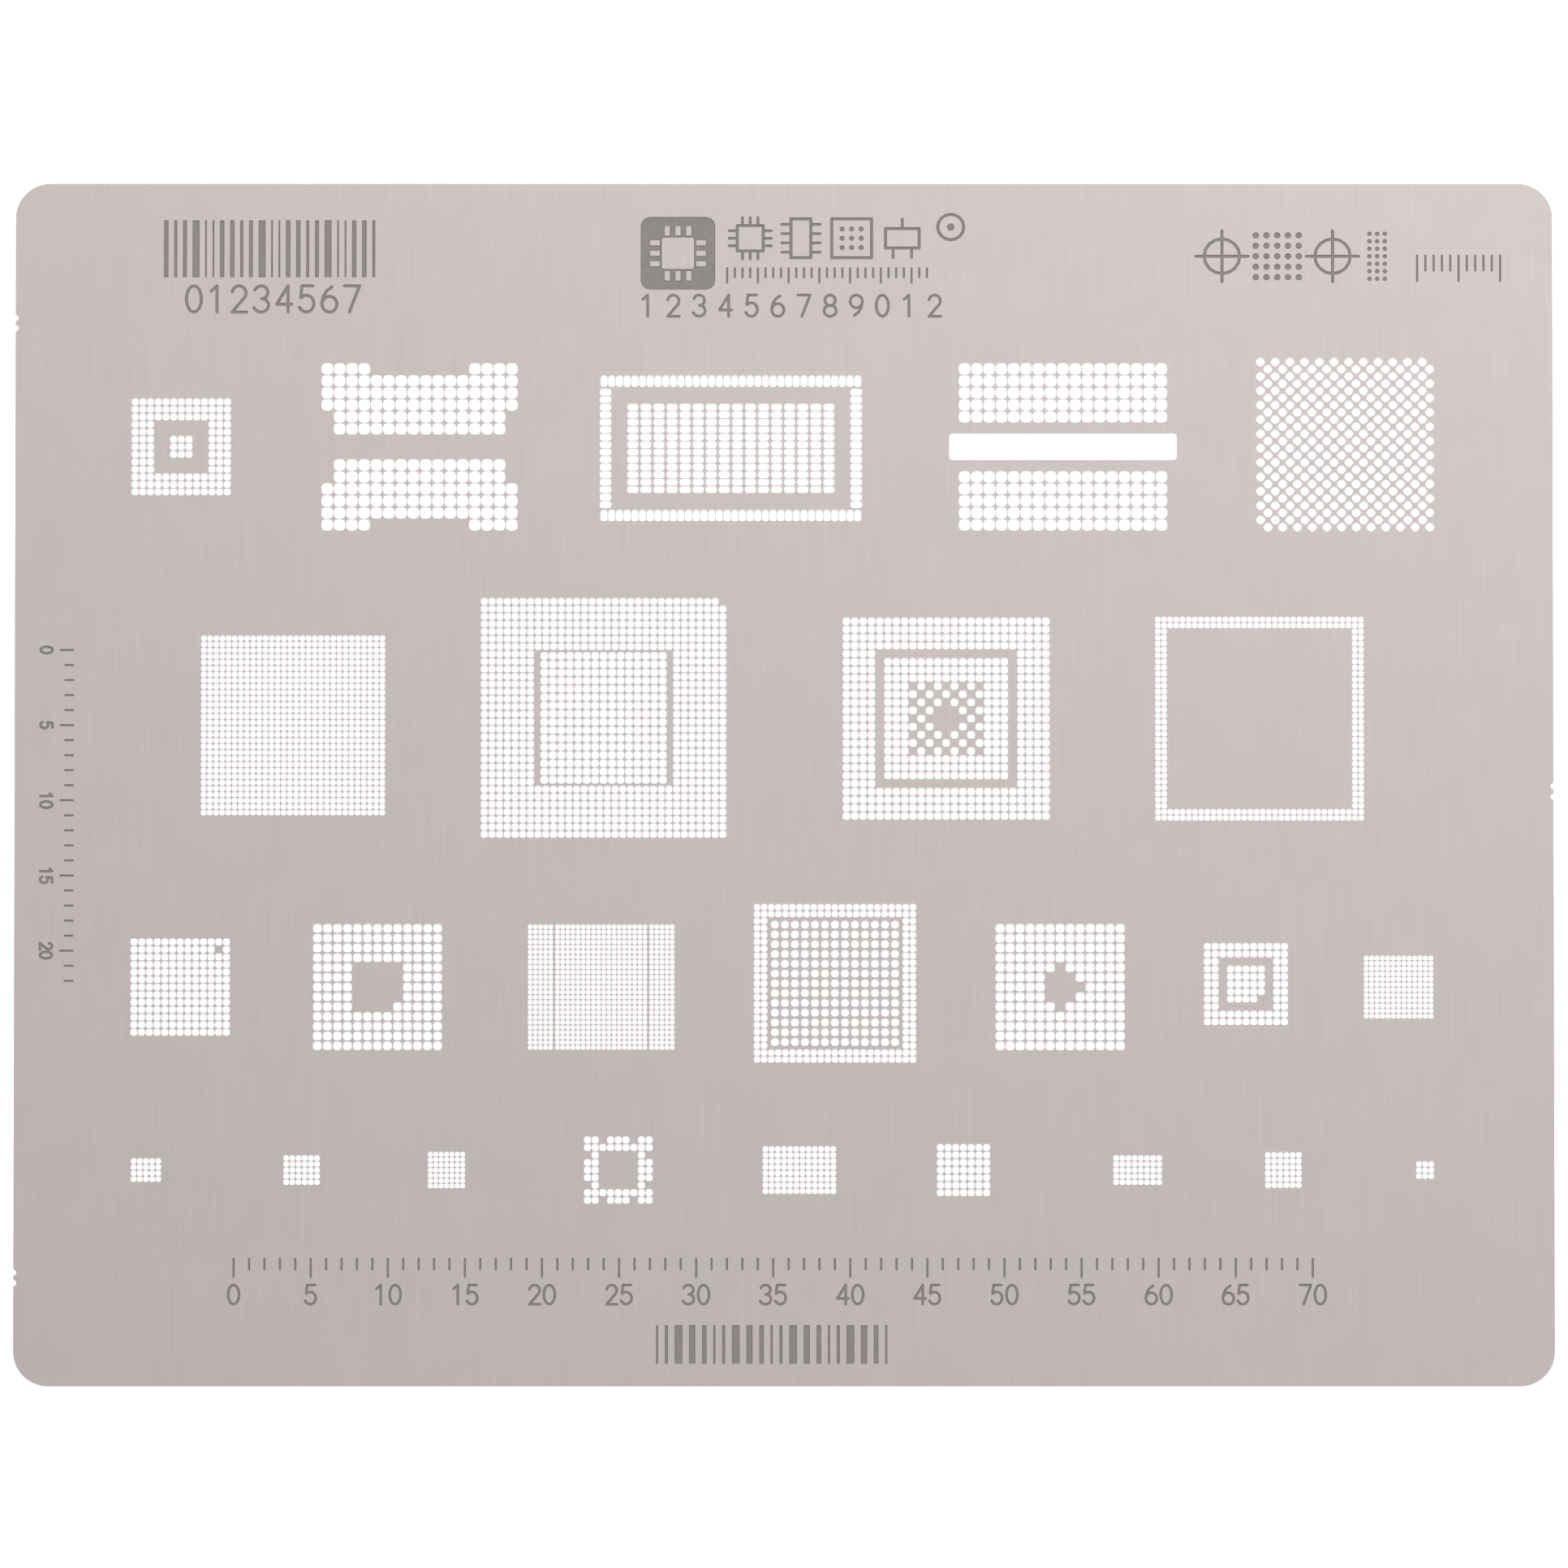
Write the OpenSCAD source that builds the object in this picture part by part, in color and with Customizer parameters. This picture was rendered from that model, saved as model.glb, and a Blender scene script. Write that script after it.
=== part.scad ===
// Solder paste stencil: one etched sheet of thin spring steel, with a field of
// apertures for each chip package. Paste is wiped through the apertures on to the
// package's pads. The sheet lies flat, underside on Z = 0, centred on the origin.

/* [Sheet] */
// Length of the sheet, along X
sheet_l = 100; // [90:1:160]
// Width of the sheet, along Y
sheet_w = 80; // [72:1:140]
// Thickness of the sheet
sheet_t = 0.12; // [0.08:0.01:0.3]
// How far the etch eats the webs of the close fields, on each face
web_etch = 0.01; // [0.005:0.005:0.02]
// Radius of the sheet's corners
corner_r = 2.3; // [0.5:0.1:5]

/* [Snapped tabs] */
// Width of the stub left where a tab held the sheet in its etching frame
stub_w = 0.3; // [0.2:0.05:0.8]
// Width of the round nick on each side of a stub
nick_d = 0.4; // [0.2:0.05:0.8]
// From the top edge to the upper tab of the left edge
upper_tab = 9.3; // [6:0.1:20]
// From the bottom edge to the lower tab of the left edge
lower_tab = 7.2; // [6:0.1:20]
// From the top edge to the tab of the right edge
right_tab = 40.5; // [30:0.1:60]

/* [Layout] */
// From the left edge to the first aperture's centre in the full rows
left_margin = 7.8; // [6:0.1:12]
// From the right edge to the last aperture's centre in the full rows
right_margin = 8; // [6:0.1:12]
// More margin, at both ends, for the second row of fields
second_row_inset = 4.5; // [0:0.1:6]
// From the top edge to the centre line of the first row
top_band = 17.55; // [16:0.05:20]
// From the bottom edge to the centre line of the last row
bottom_band = 14.35; // [10:0.05:18]

/* [Aperture pitches] */
// Pitch of the coarse fields
coarse_pitch = 0.8; // [0.7:0.01:0.85]
// Pitch of the medium fields
medium_pitch = 0.65; // [0.5:0.01:0.7]
// Pitch of the common fields
common_pitch = 0.5; // [0.4:0.01:0.53]
// Pitch of the core inside the large ring
core_pitch = 0.55; // [0.45:0.01:0.56]
// Pitch of the field with the chequered core
chequer_pitch = 0.54; // [0.45:0.01:0.6]
// Pitch of the double frame round the medium core
frame_pitch = 0.46; // [0.42:0.01:0.5]
// Pitch of the fine fields
fine_pitch = 0.4; // [0.3:0.01:0.44]
// Pitch of the very fine fields
finest_pitch = 0.35; // [0.28:0.01:0.4]
// Pitch of the dense field in three panels
dense_pitch = 0.334; // [0.26:0.002:0.36]
// Pitch along X, and over two rows along Y, of the staggered field
stagger_pitch = 0.957; // [0.8:0.001:1]
// Pitch along X of the oblong apertures
oblong_pitch = 0.85; // [0.75:0.01:0.9]

/* [Aperture sizes] */
// Metal left between neighbouring apertures of the close fields
web = 0.1; // [0.06:0.01:0.14]
// Metal left between neighbouring apertures of the open fields
wide_web = 0.16; // [0.1:0.01:0.24]
// Length of the oblong apertures
oblong_l = 0.66; // [0.5:0.01:0.7]
// Extra metal between the panels of the dense field
panel_rib = 0.1; // [0.05:0.01:0.3]
// Length of the bar slot
bar_l = 14.7; // [8:0.1:15]
// Width of the bar slot
bar_w = 1.65; // [0.8:0.05:3]
// Corner radius of the bar slot
bar_r = 0.15; // [0.05:0.05:0.4]

/* [Hidden] */
$fn = 24;
steel = [0.76, 0.73, 0.72];

// What a step of a pattern does with the cells it names. Columns and rows count
// from the top left cell, and a later step holds over an earlier one.
DROP = 0;       // [DROP, first column, first row, last column, last row]
KEEP = 1;       // [KEEP, first column, first row, last column, last row]
CHEQUER = 2;    // [CHEQUER, first column, first row, last column, last row]
DIAMOND = 3;    // [DIAMOND, column, row, reach]: drops the cells within reach

// What an aperture field looks like up close.
OPEN = 0;       // flat metal shows between the apertures
CLOSE = 1;      // the etch has eaten the webs between the apertures
CLOSE_RUNS = 2; // as CLOSE, and neighbours along a row run together as one slot

// A grid of apertures: [x pitch, y pitch, columns, rows, width, height, pattern, shift,
// kind] where every second row moves right by shift.
function close_grid(pitch, columns, rows, pattern = [], kind = CLOSE) =
    [pitch, pitch, columns, rows, pitch - web, pitch - web, pattern, 0, kind];
function open_grid(pitch, columns, rows, pattern = []) =
    [pitch, pitch, columns, rows, pitch - wide_web, pitch - wide_web, pattern, 0, OPEN];
function slot_grid(pitch_x, pitch_y, columns, rows, width, height) =
    [pitch_x, pitch_y, columns, rows, width, height, [], 0, OPEN];
function staggered_grid(pitch, columns, rows) =
    let (opening = pitch / sqrt(2) - wide_web)
    [pitch, pitch / 2, columns, rows, opening, opening, [], pitch / 2, OPEN];

function grid_span(g) = (g[2] - 1) * g[0] + g[7];
function grid_rise(g) = (g[3] - 1) * g[1];

// Whether a step names a cell.
function names_cell(s, c, r) = s[0] == DIAMOND
    ? abs(c - s[1]) + abs(r - s[2]) <= s[3]
    : c >= s[1] && r >= s[2] && c <= s[3] && r <= s[4];

// Whether a cell is open after all the steps of its grid's pattern.
function is_open(steps, c, r, n = 0, was = true) =
    n == len(steps) ? was
    : is_open(steps, c, r, n + 1,
        !names_cell(steps[n], c, r) ? was
        : steps[n][0] == CHEQUER ? (c + r) % 2 == 1
        : steps[n][0] == KEEP);

// Centre of a cell, about the grid's own centre.
function cell_at(g, c, r) =
    [c * g[0] + (r % 2) * g[7] - grid_span(g) / 2, grid_rise(g) / 2 - r * g[1]];

// Last open cell of the run of open cells that a cell belongs to.
function run_end(g, c, r) =
    c + 1 < g[2] && is_open(g[6], c + 1, r) ? run_end(g, c + 1, r) : c;

// Openings of a grid, each as [place, width, height].
function openings(g) = [
    for (r = [0:g[3] - 1], c = [0:g[2] - 1])
        if (is_open(g[6], c, r))
            if (g[8] != CLOSE_RUNS) [cell_at(g, c, r), g[4], g[5]]
            else if (c == 0 || !is_open(g[6], c - 1, r))
                let (run = (run_end(g, c, r) - c) * g[0])
                [cell_at(g, c, r) + [run / 2, 0], g[4] + run, g[5]]];

// A field of one row: [gap before it, lift above the row's line, span, parts]
// where each part is [x, y, grid] about the field's centre.
function plain_field(gap, grid, lift = 0) = [gap, lift, grid_span(grid), [[0, 0, grid]]];

// The block of oblong apertures, with a picket of slots on each of its four sides.
slot_core = slot_grid(oblong_pitch, common_pitch, 16, 12, oblong_l, common_pitch - web);
picket_rise = grid_rise(slot_core) + 3.46;
picket_run = grid_span(slot_core) + 3.55;
pickets_across = slot_grid(
    common_pitch, picket_rise, 34, 2, common_pitch - web, oblong_l);
pickets_down = slot_grid(
    picket_run, common_pitch, 2, 16, oblong_l, common_pitch - web);

// The dense field's panels stand side by side with a rib between them.
middle_panel = close_grid(dense_pitch, 18, 25, [], CLOSE_RUNS);
side_panel = close_grid(dense_pitch, 5, 25, [], CLOSE_RUNS);
panel_x = (grid_span(middle_panel) + grid_span(side_panel)) / 2 + dense_pitch + panel_rib;

large_ring = close_grid(common_pitch, 32, 32,
    [[DROP, 7, 7, 24, 24], [DROP, 31, 0, 31, 0]], CLOSE_RUNS);
double_frame = close_grid(frame_pitch, 23, 23, [[DROP, 2, 2, 20, 20]], CLOSE_RUNS);

ROWS = [
    [
        plain_field(0, close_grid(common_pitch, 13, 13,
            [[DROP, 3, 3, 9, 9], [KEEP, 5, 5, 7, 7]])),
        plain_field(6.5, close_grid(coarse_pitch, 16, 14,
            [[DROP, 4, 0, 11, 0], [DROP, 4, 13, 11, 13], [DROP, 0, 4, 0, 9],
             [DROP, 15, 4, 15, 9], [DROP, 0, 6, 15, 7]])),
        [6, -0.1, grid_span(pickets_across),
            [[0, 0, slot_core], [0, 0, pickets_across], [0, 0, pickets_down]]],
        plain_field(6.95, close_grid(coarse_pitch, 17, 14, [[DROP, 0, 5, 16, 8]])),
        plain_field(6.45, staggered_grid(stagger_pitch, 12, 24), 0.15)
    ], [
        plain_field(0, close_grid(fine_pitch, 30, 30, [], CLOSE_RUNS), -0.45),
        [6.6, 0.05, grid_span(large_ring),
            [[0, 0, large_ring], [0, 0, close_grid(core_pitch, 15, 16, [], CLOSE_RUNS)]]],
        plain_field(8, close_grid(chequer_pitch, 25, 25,
            [[DROP, 4, 4, 20, 20], [KEEP, 5, 5, 19, 19], [CHEQUER, 8, 8, 16, 16],
             [DIAMOND, 12, 12, 2]], CLOSE_RUNS)),
        plain_field(7.25, close_grid(fine_pitch, 34, 34, [[DROP, 2, 2, 31, 31]], CLOSE_RUNS))
    ], [
        plain_field(0, close_grid(common_pitch, 13, 13, [[DROP, 11, 1, 11, 1]])),
        plain_field(5.9, open_grid(medium_pitch, 13, 13,
            [[DROP, 4, 4, 8, 8], [KEEP, 8, 8, 8, 8]])),
        [6, 0, 2 * panel_x + grid_span(side_panel),
            [[-panel_x, 0, side_panel], [0, 0, middle_panel], [panel_x, 0, side_panel]]],
        [5.5, 0.25, grid_span(double_frame),
            [[0, 0, double_frame], [0, 0, open_grid(medium_pitch, 13, 13)]]],
        plain_field(5.65, close_grid(medium_pitch, 13, 13,
            [[DIAMOND, 6, 6, 2], [KEEP, 4, 6, 4, 6]])),
        plain_field(5.65, close_grid(common_pitch, 11, 11,
            [[DROP, 2, 2, 8, 8], [KEEP, 3, 3, 7, 7], [DROP, 7, 7, 7, 7]]), 0.2),
        plain_field(5.3, close_grid(finest_pitch, 13, 12))
    ], [
        plain_field(0, close_grid(fine_pitch, 5, 4)),
        plain_field(8.3, close_grid(fine_pitch, 6, 5)),
        plain_field(7.35, close_grid(finest_pitch, 7, 7)),
        plain_field(8.1, close_grid(common_pitch, 9, 9,
            [[DROP, 2, 2, 6, 6], [DROP, 2, 0, 2, 0], [DROP, 6, 0, 6, 0],
             [DROP, 2, 8, 2, 8], [DROP, 6, 8, 6, 8], [DROP, 0, 2, 0, 2],
             [DROP, 0, 6, 0, 6], [DROP, 8, 2, 8, 2], [DROP, 8, 6, 8, 6]])),
        plain_field(7.55, close_grid(fine_pitch, 12, 8)),
        plain_field(6.95, close_grid(common_pitch, 7, 7)),
        plain_field(8.4, close_grid(fine_pitch, 8, 5)),
        plain_field(7.05, close_grid(fine_pitch, 6, 6)),
        plain_field(7.8, close_grid(fine_pitch, 3, 3))
    ]
];
ROW_INSET = [0, second_row_inset, 0, 0];
ROW_DROP = [0, 18.1, 17.85, 12.15];
BAR_FIELD = 3;

function total(list, n) = n < 0 ? 0 : list[n] + total(list, n - 1);
function column(row, k) = [for (f = row) f[k]];

// The gaps of a row stretch alike, so that its fields fill the width between margins.
function row_stretch(k) =
    let (row = ROWS[k], last = len(row) - 1)
    (sheet_l - left_margin - right_margin - 2 * ROW_INSET[k] - total(column(row, 2), last))
        / total(column(row, 0), last);
function field_x(k, n) =
    -sheet_l / 2 + left_margin + ROW_INSET[k] + total(column(ROWS[k], 2), n - 1)
        + ROWS[k][n][2] / 2 + row_stretch(k) * total(column(ROWS[k], 0), n);

// The rows' centre lines share out the height between the two bands in the same way.
function row_y(k) =
    sheet_w / 2 - top_band
        - (sheet_w - top_band - bottom_band) * total(ROW_DROP, k) / total(ROW_DROP, 3);

// Every grid of the sheet, as [place of its centre, grid].
GRIDS = [
    for (k = [0:len(ROWS) - 1], n = [0:len(ROWS[k]) - 1], part = ROWS[k][n][3])
        [[field_x(k, n) + part[0], row_y(k) + ROWS[k][n][1] + part[1]], part[2]]];

// A slot with round ends, or a round aperture where its width is its height.
module aperture(w, h) {
    d = min(w, h);
    if (w == h) circle(d = d);
    else {
        square([w > h ? w - d : d, w > h ? d : h - d], center = true);
        for (s = [-1, 1]) translate(s * [w - d, h - d] / 2) circle(d = d);
    }
}

module apertures(g) {
    for (o = openings(g)) translate(o[0]) aperture(o[1], o[2]);
}

// The cells that a pattern step names, as one block.
module step_block(g, s) {
    translate((cell_at(g, s[1], s[2]) + cell_at(g, s[3], s[4])) / 2)
        square([(s[3] - s[1] + 1) * g[0], (s[4] - s[2] + 1) * g[1]], center = true);
}

// The cells that a diamond step drops.
module diamond_block(g, s) {
    for (k = [-s[3]:s[3]])
        step_block(g, [DROP, s[1] - s[3] + abs(k), s[2] + k, s[1] + s[3] - abs(k), s[2] + k]);
}

// The region of a close field where the etch has eaten the webs.
module eaten_region(g, n) {
    if (n == 0) square([grid_span(g) + g[0], grid_rise(g) + g[1]], center = true);
    else if (g[6][n - 1][0] == DROP || g[6][n - 1][0] == DIAMOND) difference() {
        eaten_region(g, n - 1);
        if (g[6][n - 1][0] == DROP) step_block(g, g[6][n - 1]);
        else diamond_block(g, g[6][n - 1]);
    }
    else {
        eaten_region(g, n - 1);
        if (g[6][n - 1][0] == KEEP) step_block(g, g[6][n - 1]);
    }
}

module bar_slot() {
    square([bar_l, bar_w - 2 * bar_r], center = true);
    square([bar_l - 2 * bar_r, bar_w], center = true);
    for (x = [-1, 1], y = [-1, 1])
        translate([x * (bar_l / 2 - bar_r), y * (bar_w / 2 - bar_r)]) circle(r = bar_r);
}

// The square bit of metal outside a rounded corner that has the sheet at -x, -y.
module corner_waste(x, y) {
    difference() {
        square(2 * corner_r, center = true);
        translate([-x * corner_r, -y * corner_r]) circle(r = corner_r, $fn = 64);
    }
}

// Two nicks with the stub of a snapped tab between them.
module snapped_tab() {
    for (s = [-1, 1]) translate([0, s * (stub_w + nick_d) / 2]) circle(d = nick_d);
}

module blank_plan() {
    difference() {
        square([sheet_l, sheet_w], center = true);
        for (x = [-1, 1], y = [-1, 1])
            translate([x * sheet_l / 2, y * sheet_w / 2]) corner_waste(x, y);
        translate([-sheet_l / 2, sheet_w / 2 - upper_tab]) snapped_tab();
        translate([-sheet_l / 2, lower_tab - sheet_w / 2]) snapped_tab();
        translate([sheet_l / 2, sheet_w / 2 - right_tab]) snapped_tab();
    }
}

// The sheet at its full thickness, with the open fields' apertures.
module full_plan() {
    difference() {
        blank_plan();
        for (at = GRIDS) translate(at[0])
            if (at[1][8] == OPEN) apertures(at[1]);
            else eaten_region(at[1], len(at[1][6]));
        translate([field_x(0, BAR_FIELD), row_y(0)]) bar_slot();
    }
}

// A close field's webs, thinner than the sheet and in the middle of its thickness.
module thinned_field(g) {
    translate([0, 0, web_etch]) linear_extrude(sheet_t - 2 * web_etch) difference() {
        eaten_region(g, len(g[6]));
        apertures(g);
    }
}

module stencil_sheet() {
    color(steel) {
        linear_extrude(sheet_t) full_plan();
        for (at = GRIDS) if (at[1][8] != OPEN) translate(at[0]) thinned_field(at[1]);
    }
}

stencil_sheet();
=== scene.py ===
"""Dressed scene of a solder paste stencil: an etched steel sheet with aperture fields.

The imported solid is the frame. The sheet that is shown is made of one blank, one plate for
each aperture field and one plate for each group of half-etched marks. All of them are flush,
with their undersides on Z = 0, and together they stand for the solid.

Lengths in the classes are in millimetres, and Shell.make turns them into metres.
"""

from __future__ import annotations

import logging
import math
from dataclasses import dataclass, field
from enum import Enum
from typing import Any, Iterable, Sequence

import bpy
import numpy as np
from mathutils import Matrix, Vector
from mathutils.geometry import delaunay_2d_cdt

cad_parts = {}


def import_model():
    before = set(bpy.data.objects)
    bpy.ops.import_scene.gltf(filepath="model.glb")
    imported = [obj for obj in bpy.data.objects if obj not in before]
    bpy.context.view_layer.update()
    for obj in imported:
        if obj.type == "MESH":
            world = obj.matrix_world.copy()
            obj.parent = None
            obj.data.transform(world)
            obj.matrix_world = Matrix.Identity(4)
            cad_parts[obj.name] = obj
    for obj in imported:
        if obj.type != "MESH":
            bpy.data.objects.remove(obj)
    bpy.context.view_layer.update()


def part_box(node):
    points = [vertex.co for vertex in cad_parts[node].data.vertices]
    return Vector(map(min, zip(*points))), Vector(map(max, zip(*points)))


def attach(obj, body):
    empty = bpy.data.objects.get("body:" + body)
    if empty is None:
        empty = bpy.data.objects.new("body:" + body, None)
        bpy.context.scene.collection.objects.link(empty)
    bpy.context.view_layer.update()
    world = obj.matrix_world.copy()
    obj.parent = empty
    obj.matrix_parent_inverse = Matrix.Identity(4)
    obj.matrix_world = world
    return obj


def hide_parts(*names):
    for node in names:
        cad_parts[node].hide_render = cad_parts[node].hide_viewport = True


LOG = logging.getLogger("stencil")
MM = 0.001
NODE = "stencil_sheet"
WELD = 1e6  # points nearer than a millionth of a millimetre are one point
SHAKE = 1e-4  # moves lattice points off shared circles, which would confuse the triangles
CRISP = math.radians(48)  # edges sharper than this stay sharp on a smoothed wall
CARD_DROP = 0.00005  # from the sheet's underside down to the card, in metres

Array = np.ndarray


# ---------------------------------------------------------------- finishes


class Skin(Enum):
    """Which finish a face of the sheet takes."""

    FACE = 0
    WALL = 1
    RECESS = 2


@dataclass(frozen=True)
class SteelFinish:
    """A steel surface: its colour, gloss, and the soft variation the rolling and etch leave.

    The grain is fine noise drawn out along Y. The clouds are wide soft noise that shifts the
    colour towards a second tint.
    """

    name: str
    colour: tuple[float, float, float]
    tint: tuple[float, float, float]
    roughness: float
    metallic: float = 1.0
    cloud_scale: float = 90.0
    grain: float = 0.0
    grain_across: float = 5200.0
    grain_along: float = 160.0

    def material(self) -> bpy.types.Material:
        """Builds the material on Object coordinates.

        Returns:
            The new material.
        """
        made = bpy.data.materials.new(self.name)
        made.use_nodes = True
        tree = made.node_tree
        shader = tree.nodes["Principled BSDF"]
        shader.inputs["Metallic"].default_value = self.metallic
        shader.inputs["Roughness"].default_value = self.roughness
        place = tree.nodes.new("ShaderNodeTexCoord")
        clouds = tree.nodes.new("ShaderNodeTexNoise")
        clouds.inputs["Scale"].default_value = self.cloud_scale
        clouds.inputs["Detail"].default_value = 3.0
        tree.links.new(place.outputs["Object"], clouds.inputs["Vector"])
        spread = tree.nodes.new("ShaderNodeMapRange")
        spread.inputs["From Min"].default_value = 0.35
        spread.inputs["From Max"].default_value = 0.65
        tree.links.new(clouds.outputs["Fac"], spread.inputs["Value"])
        blend = tree.nodes.new("ShaderNodeMix")
        blend.data_type = "RGBA"
        blend.inputs["A"].default_value = (*self.colour, 1.0)
        blend.inputs["B"].default_value = (*self.tint, 1.0)
        tree.links.new(spread.outputs["Result"], blend.inputs["Factor"])
        colour = blend.outputs["Result"]
        if self.grain:
            colour = self._grained(tree, place.outputs["Object"], colour)
        tree.links.new(colour, shader.inputs["Base Color"])
        return made

    def _grained(self, tree: Any, place: Any, colour: Any) -> Any:
        """Lays the fine grain over a colour.

        Args:
            tree: the material's node tree.
            place: the socket of the Object coordinates.
            colour: the socket of the colour so far.

        Returns:
            The socket of the grained colour.
        """
        draw = tree.nodes.new("ShaderNodeMapping")
        draw.inputs["Scale"].default_value = (self.grain_across, self.grain_along, 1.0)
        streaks = tree.nodes.new("ShaderNodeTexNoise")
        streaks.inputs["Scale"].default_value = 1.0
        streaks.inputs["Detail"].default_value = 4.0
        level = tree.nodes.new("ShaderNodeMapRange")
        level.inputs["From Min"].default_value = 0.3
        level.inputs["From Max"].default_value = 0.7
        level.inputs["To Min"].default_value = 1.0 - self.grain
        level.inputs["To Max"].default_value = 1.0 + self.grain
        times = tree.nodes.new("ShaderNodeVectorMath")
        times.operation = "SCALE"
        tree.links.new(place, draw.inputs["Vector"])
        tree.links.new(draw.outputs["Vector"], streaks.inputs["Vector"])
        tree.links.new(streaks.outputs["Fac"], level.inputs["Value"])
        tree.links.new(colour, times.inputs[0])
        tree.links.new(level.outputs["Result"], times.inputs["Scale"])
        return times.outputs["Vector"]


FINISHES = {
    Skin.FACE: SteelFinish(
        "satin etched steel", (0.592, 0.529, 0.522), (0.573, 0.526, 0.514), 0.42,
        cloud_scale=260.0, grain=0.022,
    ),
    # The walls' colour and lower metallic make them much lighter than the face. Part of this is the
    # cut walls' own brighter finish, and part is a painted highlight for the light the bevelled
    # walls catch.
    Skin.WALL: SteelFinish(
        "etched wall with painted highlight", (0.80, 0.785, 0.78), (0.77, 0.76, 0.75), 0.30, metallic=0.6
    ),
    Skin.RECESS: SteelFinish(
        "matte half-etched recess", (0.360, 0.325, 0.318), (0.325, 0.305, 0.296), 0.65,
        metallic=0.8, cloud_scale=2500.0,
    ),
}


# ---------------------------------------------------------------- meshes


@dataclass
class Shell:
    """A closed surface gathered from blocks of points and of faces."""

    points: list[Array] = field(default_factory=list)
    faces: list[tuple[Array, Skin]] = field(default_factory=list)
    count: int = 0

    def add(self, points: Array) -> int:
        """Adds points.

        Args:
            points: an (n, 3) array in millimetres.

        Returns:
            The number of the first of them.
        """
        first = self.count
        self.points.append(points)
        self.count += len(points)
        return first

    def cover(self, faces: Array, skin: Skin = Skin.FACE) -> None:
        """Adds faces, as an (n, 3) or (n, 4) array of point numbers, with one finish."""
        self.faces.append((faces, skin))

    def make(self, name: str, smooth: bool = False) -> bpy.types.Object:
        """Turns the shell into a piece of the sheet.

        Args:
            name: the piece's name.
            smooth: whether the facets of its walls are shaded as one curve.

        Returns:
            The new object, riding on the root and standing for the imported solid.
        """
        mesh = bpy.data.meshes.new(name)
        points = np.concatenate(self.points) * MM
        faces = [f for block, _ in self.faces for f in block.tolist()]
        mesh.from_pydata(points.tolist(), [], faces)
        skins = np.concatenate([np.full(len(b), s.value, np.int32) for b, s in self.faces])
        for skin in Skin:
            mesh.materials.append(Dressing.material(skin))
        mesh.polygons.foreach_set("material_index", skins)
        if smooth:
            mesh.polygons.foreach_set("use_smooth", np.ones(len(faces), bool))
            mesh.set_sharp_from_angle(angle=CRISP)
        mesh.update()
        piece = bpy.data.objects.new(name, mesh)
        bpy.context.scene.collection.objects.link(piece)
        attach(piece, "root")
        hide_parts(NODE)
        LOG.info("%s: %d faces", name, len(faces))
        return piece


class Dressing:
    """The materials made so far, one for each finish."""

    _made: dict[Skin, bpy.types.Material] = {}

    @classmethod
    def material(cls, skin: Skin) -> bpy.types.Material:
        """The material of a finish, made at its first use."""
        if skin not in cls._made:
            cls._made[skin] = FINISHES[skin].material()
        return cls._made[skin]


def open_edges(start: Array, end: Array) -> Array:
    """Which directed edges have no partner that runs the other way.

    Args:
        start: the point number that each edge starts from.
        end: the point number that it ends at.

    Returns:
        A mask over the edges.
    """
    size = int(max(start.max(), end.max())) + 1
    return ~np.isin(start.astype(np.int64) * size + end, end.astype(np.int64) * size + start)


def lifted(plan: Array, height: float | Array) -> Array:
    """Points of a plan, (n, 2), raised to a height or to a height each, (n,)."""
    return np.column_stack([plan, np.broadcast_to(height, len(plan))])


def turned(plan: Array, angle: float) -> Array:
    """Points of a plan turned about the origin by an angle in degrees."""
    c, s = math.cos(math.radians(angle)), math.sin(math.radians(angle))
    return plan @ np.array([[c, s], [-s, c]])


def rounded_loop(width: float, height: float, radius: float, steps: int = 2) -> Array:
    """A rectangle's outline with rounded corners, anticlockwise from its top right corner.

    Each corner is a quarter circle, sampled at steps + 1 angles, about a centre that lies
    one radius in from both sides.

    Args:
        width: the size along X.
        height: the size along Y.
        radius: the corners' radius.
        steps: the number of segments in a corner.

    Returns:
        An (4 * (steps + 1), 2) array about the rectangle's centre.
    """
    corner = np.repeat(np.arange(4), steps + 1)
    angle = np.radians(90.0 * corner + np.tile(np.linspace(0, 90, steps + 1), 4))
    side = np.array([[1, 1], [-1, 1], [-1, -1], [1, -1]])[corner]
    centre = side * (np.array([width, height]) / 2 - radius)
    return centre + radius * np.column_stack([np.cos(angle), np.sin(angle)])


def plates(plan: Array, triangles: Array, tops: Array, skins: Array, lid: Shell) -> None:
    """Closes a triangulated plan into a plate: a top, an underside at zero, and its walls.

    Args:
        plan: the plan's points, (n, 2).
        triangles: its triangles, (m, 3), anticlockwise.
        tops: the top's height at each point, (n,).
        skins: the value of each top triangle's Skin, (m,).
        lid: the shell that takes the plate.
    """
    top = lid.add(lifted(plan, tops))
    under = lid.add(lifted(plan, 0.0))
    for skin in Skin:
        chosen = triangles[skins == skin.value]
        if len(chosen):
            lid.cover(chosen + top, skin)
    lid.cover(triangles[:, ::-1] + under)
    start = triangles.ravel()
    end = triangles[:, [1, 2, 0]].ravel()
    rim = open_edges(start, end)
    a, b = start[rim], end[rim]
    lid.cover(np.column_stack([b + top, a + top, a + under, b + under]))


# ---------------------------------------------------------------- aperture fields


class Act(Enum):
    """What a step of a pattern does with the cells it names."""

    DROP = "drop"
    KEEP = "keep"
    CHEQUER = "chequer"
    DIAMOND = "diamond"


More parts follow.
